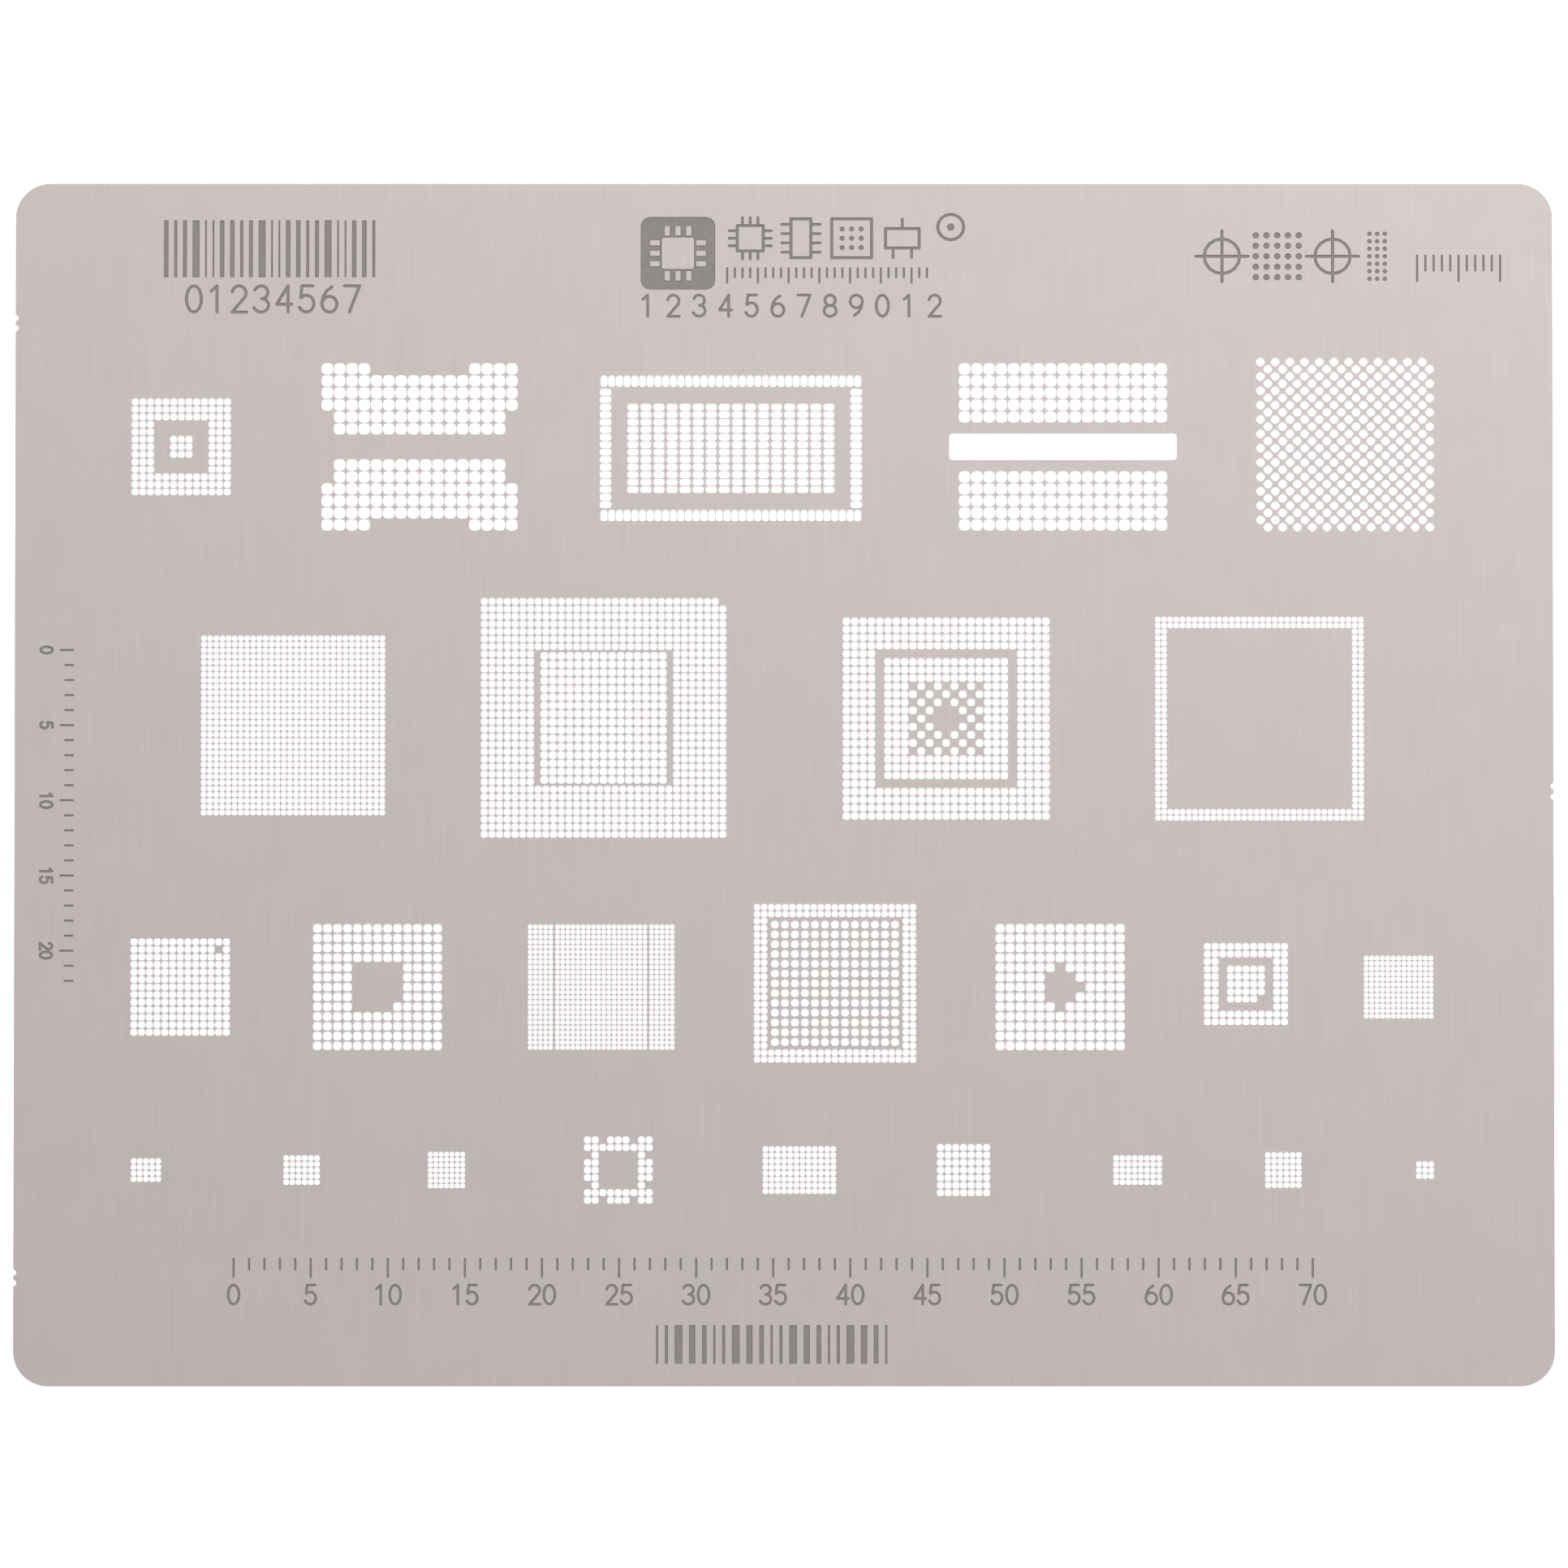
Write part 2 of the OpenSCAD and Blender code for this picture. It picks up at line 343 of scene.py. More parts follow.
@dataclass(frozen=True)
class Step:
    """One step of a pattern. Columns and rows count from the top left cell.

    A drop, keep or chequer names the block from the first cell to the last. A diamond names
    the cells within last[0] moves of the first cell, and drops them.
    """

    act: Act
    first: tuple[int, int]
    last: tuple[int, int]

    def apply(self, mask: Array) -> Array:
        """The mask of open cells, (rows, columns), after this step."""
        rows, columns = np.indices(mask.shape)
        if self.act is Act.DIAMOND:
            reach = abs(columns - self.first[0]) + abs(rows - self.first[1])
            return mask & (reach > self.last[0])
        named = (
            (columns >= self.first[0]) & (columns <= self.last[0])
            & (rows >= self.first[1]) & (rows <= self.last[1])
        )
        value = (columns + rows) % 2 == 1 if self.act is Act.CHEQUER else self.act is Act.KEEP
        return np.where(named, value, mask)


def drop(*block: int) -> Step:
    """Closes the cells from a first column and row to a last column and row."""
    return Step(Act.DROP, block[:2], block[2:] or block[:2])


def keep(*block: int) -> Step:
    """Opens the cells from a first column and row to a last column and row."""
    return Step(Act.KEEP, block[:2], block[2:] or block[:2])


@dataclass(frozen=True)
class Lattice:
    """A lattice of apertures, each in the middle of a cell of plate.

    The opening is the aperture's size in the top face. Its wall runs in by the taper on its
    way down to the underside. Every second row moves right by the shift, and a turned
    lattice has its cells and apertures turned on the spot.
    """

    pitch: tuple[float, float]
    count: tuple[int, int]
    cell: tuple[float, float]
    opening: tuple[float, float]
    corner: float
    taper: float
    pattern: tuple[Step, ...] = ()
    shift: float = 0.0
    turn: float = 0.0

    @property
    def span(self) -> float:
        """From the first aperture's centre to the last one's, along X."""
        return (self.count[0] - 1) * self.pitch[0] + self.shift

    @property
    def rise(self) -> float:
        """From the first row's centre line to the last one's."""
        return (self.count[1] - 1) * self.pitch[1]

    def centres(self) -> Array:
        """The open cells' centres about the lattice's own centre, as an (n, 2) array."""
        mask = np.ones(self.count[::-1], bool)
        for step in self.pattern:
            mask = step.apply(mask)
        rows, columns = np.nonzero(mask)
        x = columns * self.pitch[0] + (rows % 2) * self.shift - self.span / 2
        return np.column_stack([x, self.rise / 2 - rows * self.pitch[1]])

    def corners(self) -> Array:
        """A cell's corners about its centre, anticlockwise from the top right, (4, 2)."""
        half = np.array(self.cell) / 2
        return turned(half * [[1, 1], [-1, 1], [-1, -1], [1, -1]], self.turn)

    def covers(self, points: Array, centre: Array) -> Array:
        """Which points, (n, 2), lie in an open cell of the lattice with its centre there."""
        gaps = points[:, None, :] - (self.centres() + centre)[None, :, :]
        local = turned(gaps.reshape(-1, 2), -self.turn).reshape(gaps.shape)
        return (abs(local) < np.array(self.cell) / 2).all(axis=2).any(axis=1)


def close_lattice(pitch: float, columns: int, rows: int, *pattern: Step) -> Lattice:
    """Apertures whose openings all but meet, with the webs between them eaten by the etch."""
    opening = pitch - 0.02 - 0.16 * max(0.0, min(pitch, 0.52) - 0.4)
    return Lattice(
        (pitch, pitch), (columns, rows), (pitch, pitch), (opening, opening),
        0.30 * pitch, min(0.13 * pitch, 0.05), pattern,
    )


def open_lattice(pitch: float, columns: int, rows: int, *pattern: Step, **other: float) -> Lattice:
    """Apertures with flat metal between them."""
    opening = other.get("opening", pitch - 0.072)
    return Lattice(
        (pitch, pitch), (columns, rows), (pitch, pitch), (opening, opening),
        other.get("corner", 0.18), 0.06, pattern,
    )


def oblong_lattice(
    pitch: tuple[float, float], count: tuple[int, int], cell: tuple[float, float],
    opening: tuple[float, float],
) -> Lattice:
    """Oblong apertures in cells that may stand apart."""
    return Lattice(pitch, count, cell, opening, 0.16, 0.055)


def staggered_lattice(pitch: float, columns: int, rows: int) -> Lattice:
    """Rounded diamonds, with every second row half a pitch to the right."""
    side = pitch / math.sqrt(2)
    return Lattice(
        (pitch, pitch / 2), (columns, rows), (side, side), (side - 0.135, side - 0.135),
        0.18, 0.05, (), pitch / 2, 45.0,
    )


@dataclass(frozen=True)
class ApertureField:
    """One package's field: its gap from the field before it, its lift above the row's line,
    its span, and its lattices, each with its place about the field's centre."""

    name: str
    gap: float
    parts: tuple[tuple[float, float, Lattice], ...]
    lift: float = 0.0
    own_span: float = 0.0

    @property
    def span(self) -> float:
        """From the first aperture's centre to the last one's, along X."""
        return self.own_span or self.parts[0][2].span

    def loops(self, centre: Array) -> tuple[Array, Array]:
        """The outlines of the field's open cells.

        Args:
            centre: the field's centre on the sheet.

        Returns:
            The points, (n, 2), and the edges between them, (m, 2), with cells on their left.
        """
        points, edges, count = [], [], 0
        for x, y, lattice in self.parts:
            plan, corner = self._cells(lattice, centre + [x, y])
            start, end = corner.ravel(), corner[:, [1, 2, 3, 0]].ravel()
            rim = open_edges(start, end)
            used, pairs = np.unique([start[rim], end[rim]], return_inverse=True)
            points.append(plan[used])
            edges.append(pairs.reshape(2, -1).T + count)
            count += len(used)
        return np.concatenate(points), np.concatenate(edges)

    @staticmethod
    def _cells(lattice: Lattice, centre: Array) -> tuple[Array, Array]:
        """The corners of a lattice's open cells with shared ones merged.

        Args:
            lattice: the lattice.
            centre: its centre on the sheet.

        Returns:
            The points, (n, 2), and the point numbers of each cell's corners, (m, 4).
        """
        at = lattice.centres() + centre
        every = (at[:, None, :] + lattice.corners()[None, :, :]).reshape(-1, 2)
        whole = np.round(every * WELD).astype(np.int64)
        _, first, which = np.unique(whole, axis=0, return_index=True, return_inverse=True)
        return every[first], which.reshape(-1, 4)

    def covers(self, points: Array, centre: Array) -> Array:
        """Which points, (n, 2), lie in an open cell of the field."""
        hits = [part.covers(points, centre + [x, y]) for x, y, part in self.parts]
        return np.any(hits, axis=0)

    def build(self, centre: Array, thickness: float) -> bpy.types.Object:
        """Makes the field's plate: its cells, each with its aperture, and the walls round them.

        A cell's top runs from its four corners to the opening's twelve points. The wall runs
        from the opening down and in to the same twelve points, nearer the middle, in the
        underside.

        Args:
            centre: the field's centre on the sheet.
            thickness: the sheet's thickness.

        Returns:
            The field's object.
        """
        shell = Shell()
        for x, y, lattice in self.parts:
            self._lay(shell, lattice, centre + [x, y], thickness)
        return shell.make(self.name, smooth=True)

    def _lay(self, shell: Shell, lattice: Lattice, centre: Array, thickness: float) -> None:
        """Adds one lattice's cells to the shell, in the way that build() describes."""
        plan, corner = self._cells(lattice, centre)
        top, under = shell.add(lifted(plan, thickness)), shell.add(lifted(plan, 0.0))
        at = (lattice.centres() + centre)[:, None, :]
        wide, tall = lattice.opening
        lip = turned(rounded_loop(wide, tall, lattice.corner), lattice.turn)
        run = 2 * lattice.taper
        foot = turned(
            rounded_loop(wide - run, tall - run, lattice.corner - lattice.taper / 2),
            lattice.turn,
        )
        size = len(lip)
        upper = shell.add(lifted((at + lip).reshape(-1, 2), thickness))
        lower = shell.add(lifted((at + foot).reshape(-1, 2), 0.0))
        ring = np.arange(len(corner) * size).reshape(-1, size)
        after = np.roll(ring, -1, axis=1)
        for k in range(4):
            here, beyond = corner[:, k], corner[:, (k + 1) % 4]
            for i in (3 * k, 3 * k + 1):
                fan = np.column_stack([ring[:, i + 1], ring[:, i]])
                shell.cover(np.column_stack([here + top, fan + upper]))
                shell.cover(np.column_stack([here + under, fan[:, ::-1] + lower]))
            side = np.column_stack([ring[:, (3 * k + 3) % size], ring[:, 3 * k + 2]])
            edge = np.column_stack([here, beyond])
            shell.cover(np.column_stack([edge + top, side + upper]))
            shell.cover(np.column_stack([side + lower, edge + under])[:, ::-1])
        walls = [ring + upper, after + upper, after + lower, ring + lower]
        shell.cover(np.stack(walls, axis=2).reshape(-1, 4), Skin.WALL)
        start, end = corner.ravel(), corner[:, [1, 2, 3, 0]].ravel()
        rim = open_edges(start, end)
        a, b = start[rim], end[rim]
        shell.cover(np.column_stack([b + top, a + top, a + under, b + under]))


@dataclass(frozen=True)
class FieldRow:
    """One row of fields: its drop below the row above, its extra margin and its fields."""

    drop: float
    inset: float
    fields: tuple[ApertureField, ...]


def one(name: str, gap: float, lattice: Lattice, lift: float = 0.0) -> ApertureField:
    """A field of one lattice."""
    return ApertureField(name, gap, ((0.0, 0.0, lattice),), lift)


def oblong_field(name: str, gap: float, lift: float) -> ApertureField:
    """The block of oblong apertures, with a picket of slots on each of its four sides."""
    core = oblong_lattice((0.85, 0.5), (16, 12), (0.85, 0.5), (0.738, 0.465))
    rise, run = core.rise + 3.46, core.span + 3.55
    across = oblong_lattice((0.5, rise), (34, 2), (0.5, 0.85), (0.47, 0.77))
    down = oblong_lattice((run, 0.5), (2, 16), (0.85, 0.5), (0.77, 0.47))
    parts = ((0.0, 0.0, core), (0.0, 0.0, across), (0.0, 0.0, down))
    return ApertureField(name, gap, parts, lift, across.span)


def panelled_field(name: str, gap: float) -> ApertureField:
    """The dense field: a middle panel between two side panels, with ribs between them."""
    pitch, rib = 0.334, 0.1
    middle, side = close_lattice(pitch, 18, 25), close_lattice(pitch, 5, 25)
    x = (middle.span + side.span) / 2 + pitch + rib
    parts = ((-x, 0.0, side), (0.0, 0.0, middle), (x, 0.0, side))
    return ApertureField(name, gap, parts, 0.0, 2 * x + side.span)


def paired_field(name: str, gap: float, ring: Lattice, core: Lattice, lift: float) -> ApertureField:
    """A ring of apertures round a core at another pitch."""
    return ApertureField(name, gap, ((0.0, 0.0, ring), (0.0, 0.0, core)), lift)


def barred_field(name: str, gap: float) -> ApertureField:
    """Two coarse blocks with a long bar slot between them."""
    blocks = close_lattice(0.8, 17, 14, drop(0, 5, 16, 8))
    bar = Lattice((1.0, 1.0), (1, 1), (15.2, 2.2), (14.82, 1.77), 0.2, 0.06)
    return ApertureField(name, gap, ((0.0, 0.0, blocks), (0.0, 0.0, bar)))


def field_rows() -> tuple[FieldRow, ...]:
    """The four rows of fields, from the top of the sheet down."""
    teeth = ((2, 0), (6, 0), (2, 8), (6, 8), (0, 2), (0, 6), (8, 2), (8, 6))
    toothed = [drop(column, row) for column, row in teeth]
    first = FieldRow(0.0, 0.0, (
        one("ring_and_core_field", 0, close_lattice(
            0.5, 13, 13, drop(3, 3, 9, 9), keep(5, 5, 7, 7))),
        one("notched_field", 6.5, close_lattice(
            0.8, 16, 14, drop(4, 0, 11, 0), drop(4, 13, 11, 13), drop(0, 4, 0, 9),
            drop(15, 4, 15, 9), drop(0, 6, 15, 7))),
        oblong_field("oblong_field", 6, -0.1),
        barred_field("barred_field", 6.95),
        one("staggered_field", 6.45, staggered_lattice(0.957, 12, 24), 0.15),
    ))
    second = FieldRow(18.1, 4.5, (
        one("fine_block_field", 0, close_lattice(0.4, 30, 30), -0.45),
        paired_field(
            "large_ring_field", 6.6,
            close_lattice(0.5, 32, 32, drop(7, 7, 24, 24), drop(31, 0)),
            close_lattice(0.55, 15, 16), 0.05),
        one("chequered_field", 8, close_lattice(
            0.54, 25, 25, drop(4, 4, 20, 20), keep(5, 5, 19, 19),
            Step(Act.CHEQUER, (8, 8), (16, 16)), Step(Act.DIAMOND, (12, 12), (2, 0)))),
        one("fine_frame_field", 7.25, close_lattice(0.4, 34, 34, drop(2, 2, 31, 31))),
    ))
    third = FieldRow(17.85, 0.0, (
        one("square_field", 0, close_lattice(0.5, 13, 13, drop(11, 1))),
        one("hollow_field", 5.9, open_lattice(0.65, 13, 13, drop(4, 4, 8, 8), keep(8, 8))),
        panelled_field("panelled_field", 6),
        paired_field(
            "framed_field", 5.5, close_lattice(0.46, 23, 23, drop(2, 2, 20, 20)),
            open_lattice(0.65, 13, 13, opening=0.532, corner=0.2), 0.25),
        one("diamond_hollow_field", 5.65, open_lattice(
            0.65, 13, 13, Step(Act.DIAMOND, (6, 6), (2, 0)), keep(4, 6), opening=0.596)),
        one("ringed_core_field", 5.65, close_lattice(
            0.5, 11, 11, drop(2, 2, 8, 8), keep(3, 3, 7, 7), drop(7, 7)), 0.2),
        one("tall_fine_field", 5.3, close_lattice(0.35, 13, 12)),
    ))
    fourth = FieldRow(12.15, 0.0, (
        one("small_field_a", 0, close_lattice(0.4, 5, 4)),
        one("small_field_b", 8.3, close_lattice(0.4, 6, 5)),
        one("small_field_c", 7.35, close_lattice(0.35, 7, 7)),
        one("toothed_field", 8.1, close_lattice(0.5, 9, 9, drop(2, 2, 6, 6), *toothed)),
        one("small_field_d", 7.55, close_lattice(0.4, 12, 8)),
        one("small_field_e", 6.95, close_lattice(0.5, 7, 7)),
        one("small_field_f", 8.4, close_lattice(0.4, 8, 5)),
        one("small_field_g", 7.05, close_lattice(0.4, 6, 6)),
        one("small_field_h", 7.8, close_lattice(0.4, 3, 3)),
    ))
    return first, second, third, fourth


@dataclass(frozen=True)
class Layout:
    """Places the rows of fields on the sheet: each row fills the width between its margins,
    and the rows' lines share out the height between the two bands."""

    length: float
    width: float
    rows: tuple[FieldRow, ...]
    left: float = 7.8
    right: float = 8.0
    top_band: float = 17.55
    bottom_band: float = 14.35

    def placed(self) -> list[tuple[ApertureField, Array]]:
        """Every field with its centre on the sheet."""
        drops = np.cumsum([row.drop for row in self.rows])
        height = self.width - self.top_band - self.bottom_band
        lines = self.width / 2 - self.top_band - height * drops / drops[-1]
        found = []
        for row, line in zip(self.rows, lines):
            spans = np.array([f.span for f in row.fields])
            gaps = np.array([f.gap for f in row.fields])
            free = self.length - self.left - self.right - 2 * row.inset - spans.sum()
            starts = np.cumsum(gaps * free / gaps.sum()) + np.cumsum(spans) - spans
            centres = starts + spans / 2 + self.left + row.inset - self.length / 2
            found += [(f, np.array([x, line + f.lift])) for f, x in zip(row.fields, centres)]
        return found


# ---------------------------------------------------------------- marks


@dataclass(frozen=True)
class Stroke:
    """A half-etched line of constant width along a path, with round ends."""

    path: Array
    width: float = 0.22
    raised: bool = False

    def outline(self, grow: float) -> Array:
        """The stroke's outline, moved outwards.

        The path is moved to both sides by half the width, and a half circle joins the two
        sides round each end.

        Args:
            grow: how far the outline moves out, or in if it is negative.

        Returns:
            An (n, 2) array, anticlockwise.
        """
        half = self.width / 2 + grow
        run = np.gradient(self.path, axis=0)
        run /= np.linalg.norm(run, axis=1, keepdims=True)
        side = np.column_stack([run[:, 1], -run[:, 0]]) * half
        arc = np.radians(np.linspace(-90, 90, 5))[1:-1]
        heading = [math.atan2(*run[k][::-1]) for k in (-1, 0)]
        ends = [
            np.column_stack([np.cos(arc + a), np.sin(arc + a)]) * half
            for a in (heading[0], heading[1] + math.pi)
        ]
        return np.concatenate([
            self.path + side, self.path[-1] + ends[0],
            (self.path - side)[::-1], self.path[0] + ends[1],
        ])


@dataclass(frozen=True)
class Pad:
    """A half-etched or raised rectangle with rounded corners, or a round dot."""

    centre: tuple[float, float]
    size: tuple[float, float]
    radius: float = 0.03
    raised: bool = False

    def outline(self, grow: float) -> Array:
        """The pad's outline, moved outwards by a distance, as an anticlockwise (n, 2) array."""
        wide, tall = (s + 2 * grow for s in self.size)
        radius = min(max(self.radius + grow, 0.01), wide / 2 - 1e-4, tall / 2 - 1e-4)
        return rounded_loop(wide, tall, radius, 3) + self.centre


Mark = Stroke | Pad


def line(*points: float) -> Array:
    """A straight path from x0, y0 to x1, y1."""
    return np.array(points, float).reshape(-1, 2)


def arc(x: float, y: float, rx: float, ry: float, start: float, end: float) -> Array:
    """An ellipse's arc about x, y from a start angle to an end angle, in degrees."""
    angle = np.radians(np.linspace(start, end, max(3, int(abs(end - start) / 22) + 1)))
    return np.column_stack([x + rx * np.cos(angle), y + ry * np.sin(angle)])


# Plain numerals as paths in a box 0.56 wide and 1 high.
NUMERALS: dict[str, list[Array]] = {
    "0": [arc(0.28, 0.5, 0.28, 0.5, 90, 270), arc(0.28, 0.5, 0.28, 0.5, -90, 90)],
    "1": [line(0.08, 0.8, 0.3, 1), line(0.3, 1, 0.3, 0)],
    "2": [arc(0.28, 0.72, 0.26, 0.28, 170, -35), line(0.49, 0.56, 0.02, 0),
          line(0.02, 0, 0.56, 0)],
    "3": [arc(0.26, 0.75, 0.25, 0.25, 160, -85), arc(0.26, 0.26, 0.28, 0.26, 85, -160)],
    "4": [line(0.42, 1, 0, 0.3), line(0, 0.3, 0.56, 0.3), line(0.42, 1, 0.42, 0)],
    "5": [line(0.5, 1, 0.1, 1), line(0.1, 1, 0.05, 0.55), arc(0.26, 0.32, 0.28, 0.32, 135, -155)],
    "6": [arc(0.28, 0.3, 0.28, 0.3, 0, 180), arc(0.28, 0.3, 0.28, 0.3, 180, 360),
          arc(0.56, 0.3, 0.56, 0.7, 180, 110)],
    "7": [line(0, 1, 0.56, 1), line(0.56, 1, 0.18, 0)],
    "8": [arc(0.28, 0.75, 0.24, 0.25, 90, 270), arc(0.28, 0.75, 0.24, 0.25, -90, 90),
          arc(0.28, 0.26, 0.28, 0.26, 90, 270), arc(0.28, 0.26, 0.28, 0.26, -90, 90)],
    "9": [arc(0.28, 0.7, 0.28, 0.3, 0, 180), arc(0.28, 0.7, 0.28, 0.3, 180, 360),
          arc(0, 0.7, 0.56, 0.7, 0, -70)],
}
NUMERAL_STEP = 0.75


def number(value: int | str, x: float, y: float, height: float, turn: float = 0.0,
           width: float = 0.2) -> list[Mark]:
    """A plain number centred on a point.

    Args:
        value: the number.
        x: the middle along X.
        y: the middle along Y.
        height: the numerals' height.
        turn: how far the number is turned, in degrees.
        width: the strokes' width.

    Returns:
        Its strokes.
    """
    text = str(value)
    half = ((len(text) - 1) * NUMERAL_STEP + 0.56) / 2
    tall = height - width
    made: list[Mark] = []
    for k, numeral in enumerate(text):
        for path in NUMERALS[numeral]:
            local = (path + [k * NUMERAL_STEP - half, -0.5]) * tall
            made.append(Stroke(turned(local, turn) + [x, y], width))
    return made


@dataclass
class MarkPlate:
    """A rectangle of the sheet that carries a group of half-etched marks."""

    name: str
    centre: tuple[float, float]
    size: tuple[float, float]
    marks: list[Mark]
    depth: float = 0.045
    slope: float = 0.035

    def corners(self) -> Array:
        """The rectangle's corners, anticlockwise, (4, 2)."""
        half = np.array(self.size) / 2
        return np.array(self.centre) + half * [[1, 1], [-1, 1], [-1, -1], [1, -1]]

    def covers(self, points: Array) -> Array:
        """Which points, (n, 2), lie in the rectangle."""
        return (abs(points - self.centre) < np.array(self.size) / 2).all(axis=1)

    def build(self, thickness: float) -> bpy.types.Object:
        """Makes the plate.

        Its top is triangulated along each mark's lip and along the foot of its slope. A point
        on the foot or in the floor goes down by the depth, and the others stay level. A
        raised mark is an island in the floor of a sunk one.

        Args:
            thickness: the sheet's thickness.

        Returns:
            The plate's object.
        """
        loops = [self.corners()]
        loops += [m.outline(0.0) for m in self.marks]
        loops += [m.outline(self.slope if m.raised else -self.slope) for m in self.marks]
        plan, triangles, owners = triangulated(loops)
        many = len(self.marks)
        raised = np.array([m.raised for m in self.marks])
        lips, feet = owners[:, 1:1 + many], owners[:, 1 + many:]
        sunk = lips[:, ~raised].any(axis=1) & ~lips[:, raised].any(axis=1)
        floor = feet[:, ~raised].any(axis=1) & ~feet[:, raised].any(axis=1)
        tops = np.full(len(plan), thickness)
        tops[triangles[floor].ravel()] -= self.depth
        skins = np.where(sunk, Skin.RECESS.value, Skin.FACE.value)
        shell = Shell()
        plates(plan, triangles, tops, skins, shell)
        return shell.make(self.name)


def triangulated(
    loops: Sequence[Array], rims: Sequence[tuple[Array, Array]] = ()
) -> tuple[Array, Array, Array]:
    """Triangles that keep to closed loops, and to further edges.

    Args:
        loops: closed loops of points, each (n, 2). The first one is the outer one.
        rims: more points, (n, 2), with the edges between them, (m, 2), to keep to as well.

    Returns:
        The points (n, 2), the triangles (m, 3) that lie in the first loop, anticlockwise, and
        a mask (m, loops) of the loops that each of them lies in.
    """
    starts = np.cumsum([0] + [len(loop) for loop in loops])
    faces = [list(range(a, b)) for a, b in zip(starts, starts[1:])]
    firsts = starts[-1] + np.cumsum([0] + [len(points) for points, _ in rims])
    pairs = [pair for (_, rim), first in zip(rims, firsts) for pair in (rim + first).tolist()]
    points = np.concatenate([*loops, *(points for points, _ in rims)])
    shaken = points + np.random.default_rng(5).uniform(-SHAKE, SHAKE, points.shape) * bool(rims)
    found = delaunay_2d_cdt([Vector(p) for p in shaken.tolist()], pairs, faces, 0, 1e-6)
    plan = np.array([v[:] for v in found[0]])
    triangles = np.array(found[2])
    owners = np.zeros((len(triangles), len(loops)), bool)
    counts = [len(f) for f in found[5]]
    lying = np.repeat(np.arange(len(triangles)), counts)
    owners[lying, np.concatenate(found[5]).astype(int)] = True
    a, b, c = (plan[triangles[:, k]] for k in range(3))
    back = np.cross(b - a, c - a) < 0
    triangles[back] = triangles[back][:, ::-1]
    inside = owners[:, 0]
    used, numbers = np.unique(triangles[inside], return_inverse=True)
    return plan[used], numbers.reshape(-1, 3), owners[inside]


@dataclass(frozen=True)
class RuleMarks:
    """A rule: a tick at each step, longer at the numbered ones, with plain numbers.

    The rule runs along X from its start, or along Y, downwards, when it is upright.
    """

    start: tuple[float, float]
    count: int
    step: float = 1.0
    every: int = 5
    short: float = 0.7
    long: float = 1.2
    numerals: float = 1.35
    upright: bool = False
    tick_width: float = 0.14

    def marks(self) -> list[Mark]:
        """The rule's ticks and numbers."""
        made: list[Mark] = []
        turn = -90.0 if self.upright else 0.0
        for k in range(self.count + 1):
            tall = self.long if k % self.every == 0 else self.short
            tick = turned(line(k * self.step, 0, k * self.step, -tall), turn)
            made.append(Stroke(tick + self.start, self.tick_width))
            if self.numerals and k % self.every == 0:
                low = self.long + 0.45 + self.numerals / 2
                x, y = (turned(line(k * self.step, -low), turn) + self.start)[0]
                made += number(k, x, y, self.numerals, turn, 0.17)
        return made


@dataclass(frozen=True)
class BarMarks:
    """A row of plain bars, with widths that go round a short cycle."""

    left: float
    right: float
    top: float
    bottom: float
    widths: tuple[float, ...]
    count: int

    def marks(self) -> list[Mark]:
        """The bars, with equal gaps between them that fill the row."""
        sizes = np.array([self.widths[k * 3 % len(self.widths)] for k in range(self.count)])
        gap = (self.right - self.left - sizes.sum()) / (self.count - 1)
        centres = self.left + np.cumsum(sizes) - sizes / 2 + gap * np.arange(self.count)
        middle, tall = (self.top + self.bottom) / 2, self.top - self.bottom
        return [Pad((x, middle), (w, tall)) for x, w in zip(centres, sizes)]


def ring_marks(x: float, y: float, radius: float, width: float = 0.2) -> list[Mark]:
    """A circle, as two half rings."""
    halves = (arc(x, y, radius, radius, a, a + 180) for a in (90, -90))
    return [Stroke(half, width) for half in halves]


def frame_marks(x: float, y: float, wide: float, tall: float, width: float = 0.2) -> list[Mark]:
    """A rectangle's four sides as strokes."""
    a, b, c, d = x - wide / 2, x + wide / 2, y - tall / 2, y + tall / 2
    sides = (line(a, c, b, c), line(b, c, b, d), line(b, d, a, d), line(a, d, a, c))
    return [Stroke(side, width) for side in sides]


def dot_marks(x: float, y: float, pitch: float, columns: int, rows: int, size: float) -> list[Mark]:
    """A block of round dots about a centre."""
    return [
        Pad((x + (c - (columns - 1) / 2) * pitch, y + (r - (rows - 1) / 2) * pitch), (size, size),
            size / 2)
        for r in range(rows) for c in range(columns)
    ]


def pin_marks(x: float, y: float, half: float, reach: float, count: int, pitch: float,
              sides: Iterable[int]) -> list[Mark]:
    """Short pins that stand off the sides of a package's outline.

    Args:
        x: the outline's centre along X.
        y: its centre along Y.
        half: from the centre to the pins' roots.
        reach: the pins' length.
        count: the pins of a side.
        pitch: the distance between them.
        sides: which sides have pins, in quarter turns from the right.

    Returns:
        The pins' strokes.
    """
    offsets = (np.arange(count) - (count - 1) / 2) * pitch
    return [
        Stroke(turned(line(half, o, half + reach, o), 90.0 * side) + [x, y], 0.18)
        for side in sides for o in offsets
    ]


